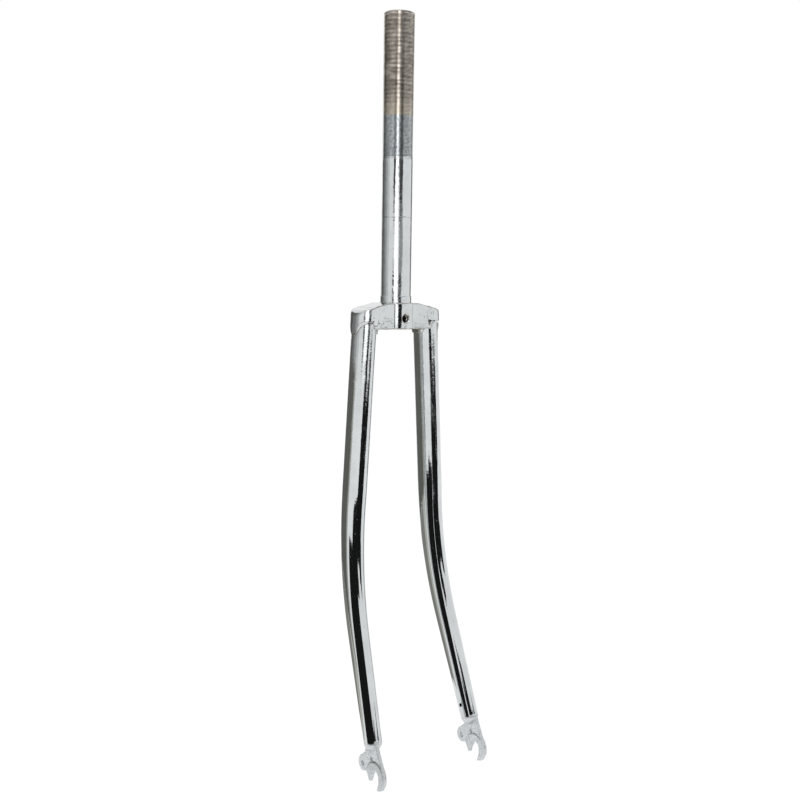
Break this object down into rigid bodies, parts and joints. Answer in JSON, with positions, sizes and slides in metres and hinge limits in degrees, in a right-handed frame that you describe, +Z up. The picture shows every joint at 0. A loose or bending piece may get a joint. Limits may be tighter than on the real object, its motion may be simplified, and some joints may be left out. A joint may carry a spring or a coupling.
{
  "type": "rigid bicycle fork",
  "caption": "Chrome-plated rigid bicycle fork with a long threaded steerer, a lugged semi-sloping crown, forward-bent tapered blades and slotted dropouts with mudguard eyelets.",
  "frame": {"origin": "on the steerer axis, at the shoulder of the crown where the headset race rests", "axes": "+X forward, the way the blades bend; +Y to the rider's left; +Z up the steerer axis"},
  "size_m": [0.0832, 0.1166, 0.6277],
  "materials": {
    "steerer": "bare thread above, plated below",
    "crown_plating": "polished",
    "blade_plating": "polished",
    "dropout_plating": "frosted plating"
  },
  "bodies": {
    "root": {"steerer_tube": "steerer", "fork_crown": "crown_plating", "right_blade": "blade_plating", "left_blade": "blade_plating", "right_dropout": "dropout_plating", "left_dropout": "dropout_plating"}
  },
  "joints": []
}
